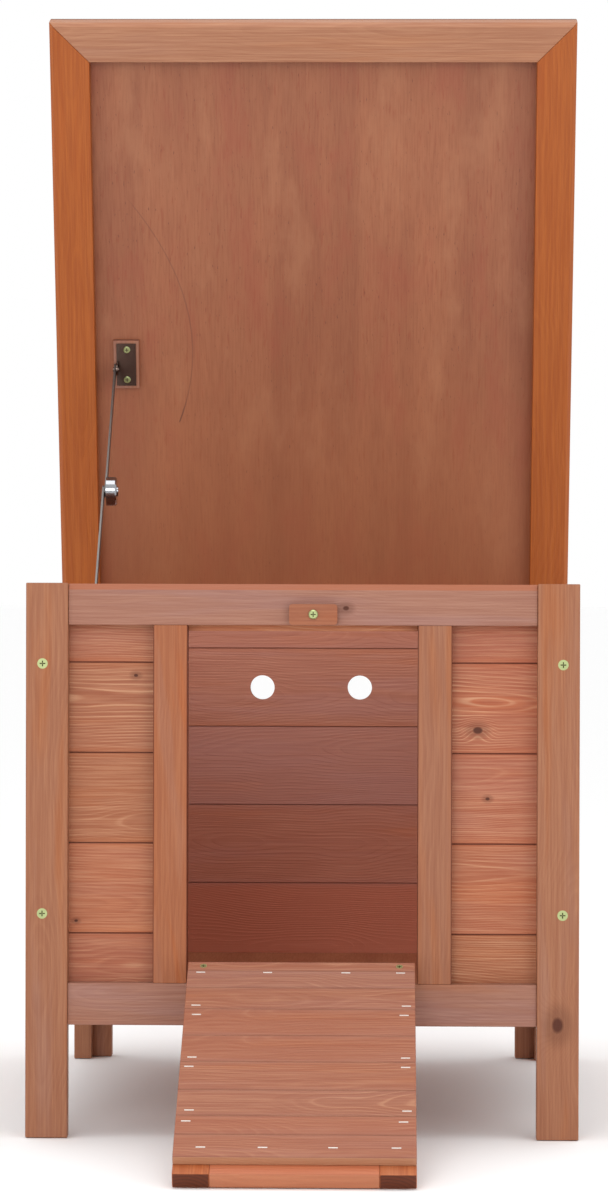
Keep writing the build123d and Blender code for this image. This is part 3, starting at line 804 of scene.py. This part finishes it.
def screw_head():
    """A domed screw head on z = 0 with a real cross recess."""
    build = bmesh.new()
    rings = [
        ring_of(build, HINGE_SCREW * out, HINGE_SCREW_HEIGHT * up) for out, up in HEAD_PROFILE
    ]
    for low, high in zip(rings, rings[1:]):
        skirt(build, low, high)
    arm = HINGE_SCREW * CROSS_ARM
    slot = HINGE_SCREW * CROSS_SLOT
    outline = []
    quarter = [(slot, arm), (-slot, arm), (-slot, slot)]
    for _ in range(4):
        outline += quarter
        quarter = [(-y, x) for x, y in quarter]
    cross = [build.verts.new((x, y, HINGE_SCREW_HEIGHT)) for x, y in outline]
    rim = [build.edges.get(pair) for pair in around(rings[-1])]
    opening = [build.edges.new(pair) for pair in around(cross)]
    bmesh.ops.triangle_fill(build, use_beauty=True, edges=rim + opening)
    for face in list(build.faces):
        centre = face.calc_center_median()
        inside = min(abs(centre.x), abs(centre.y)) < slot
        if inside and all(vertex in cross for vertex in face.verts):
            build.faces.remove(face)
    floor_loop = [
        build.verts.new((x, y, HINGE_SCREW_HEIGHT * CROSS_FLOOR)) for x, y in outline
    ]
    skirt(build, floor_loop, cross)
    build.faces.new(floor_loop)
    build.faces.new(rings[0])
    bmesh.ops.recalc_face_normals(build, faces=build.faces)
    return build


def hinge_screws(name, node, body, tilt, axis, sign):
    """Two screws on each leaf of a hinge node, on the side that looks along sign times the axis."""
    points = node_points(node, tilt)
    left = min(p[0] for p in points)
    right = max(p[0] for p in points)
    up = 3 - axis
    plate = [p for p in points if abs(p[up]) > KNUCKLE_CLEAR]
    face = max(p[axis] * sign for p in plate) * sign
    outer = max((p[up] for p in plate), key=abs)
    row = (outer + math.copysign(KNUCKLE_CLEAR, outer)) / 2
    direction = Vector([sign if i == axis else 0.0 for i in range(3)])
    turn = direction.to_track_quat("Z", "Y").to_matrix().to_4x4()
    pivot, angle = TILTS[tilt]
    back = Matrix.Translation(pivot) @ Matrix.Rotation(angle, 4, "X")
    whole = bmesh.new()
    for edge, inward in ((left, 1), (right, -1)):
        for across in (HINGE_SCREW_INSET, LEAF_LENGTH - HINGE_SCREW_INSET):
            place = Vector((edge + inward * across, 0, 0))
            place[axis] = face
            place[up] = row
            head = screw_head()
            spin = Matrix.Rotation(random.uniform(0, math.pi), 4, "Z")
            head.transform(back @ Matrix.Translation(place) @ turn @ spin)
            spare = bpy.data.meshes.new("head")
            head.to_mesh(spare)
            head.free()
            whole.from_mesh(spare)
            bpy.data.meshes.remove(spare)
    mesh = bpy.data.meshes.new(name)
    whole.to_mesh(mesh)
    whole.free()
    piece = bpy.data.objects.new(name, mesh)
    bpy.context.scene.collection.objects.link(piece)
    set_material(piece, zinc)
    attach(piece, body)


hinge_screws("ramp_hinge_rail_screws", "ramp_hinge_body_leaves", "body", "hinge_ramp", 1, -1)
hinge_screws("roof_hinge_post_screws", "roof_hinge_body_leaves", "body", "hinge_roof", 1, 1)
hinge_screws("ramp_hinge_batten_screws", "ramp_hinge_ramp_leaves", "ramp", "ramp", 2, -1)
hinge_screws("roof_hinge_rail_screws", "roof_hinge_roof_leaves", "roof", "roof", 1, 1)

# ---------------------------------------------------------------- floor, light and camera
FLOOR_RADIUS = 40
FLOOR_DROP = 0.0005
bpy.ops.mesh.primitive_circle_add(
    vertices=96, radius=FLOOR_RADIUS, fill_type="NGON", location=(0, 0, -FLOOR_DROP),
)
floor = bpy.context.object
floor.name = "studio_floor"
paper = Shade("floor_paper")
paper.surface.inputs["Base Color"].default_value = rgb(253, 253, 253)
paper.surface.inputs["Roughness"].default_value = 0.9
set_material(floor, paper.material)

world = bpy.data.worlds.new("studio")
world.use_nodes = True
world.node_tree.nodes["Background"].inputs["Color"].default_value = (1.0, 1.0, 1.0, 1)
world.node_tree.nodes["Background"].inputs["Strength"].default_value = 1.0
bpy.context.scene.world = world
bpy.context.scene.view_settings.view_transform = "Standard"


def soft_light(name, place, target, size, power):
    """A round area light that looks at a target and isn't itself in the picture."""
    data = bpy.data.lights.new(name, "AREA")
    data.shape = "DISK"
    data.size = size
    data.energy = power
    lamp = bpy.data.objects.new(name, data)
    bpy.context.scene.collection.objects.link(lamp)
    lamp.location = place
    lamp.rotation_euler = (Vector(target) - Vector(place)).to_track_quat("-Z", "Y").to_euler()
    lamp.visible_camera = False


soft_light("key", (-0.7, -3.4, 1.5), (0, 0.2, 0.45), 1.2, 20)
soft_light("fill", (1.5, -2.9, 0.9), (0, 0.2, 0.40), 1.6, 8)
soft_light("top", (0.0, -0.3, 3.0), (0, 0.1, 0.3), 2.0, 18)

# The camera: its focal length for an image this high, its place, and its turns in degrees
IMAGE_HEIGHT = 1200
FOCAL = 4100
SENSOR = 24.0
CAMERA_PLACE = (0.074, -3.875, 0.5257)
CAMERA_PAN = 1.13
CAMERA_PITCH = 90 - 0.60
CAMERA_ROLL = 0.15
camera_data = bpy.data.cameras.new("camera")
camera_data.sensor_fit = "VERTICAL"
camera_data.sensor_height = SENSOR
camera_data.lens = FOCAL / IMAGE_HEIGHT * SENSOR
camera = bpy.data.objects.new("camera", camera_data)
bpy.context.scene.collection.objects.link(camera)
camera.matrix_world = (
    Matrix.Translation(CAMERA_PLACE)
    @ Matrix.Rotation(math.radians(CAMERA_PAN), 4, "Z")
    @ Matrix.Rotation(math.radians(CAMERA_PITCH), 4, "X")
    @ Matrix.Rotation(math.radians(CAMERA_ROLL), 4, "Z")
)
bpy.context.scene.camera = camera
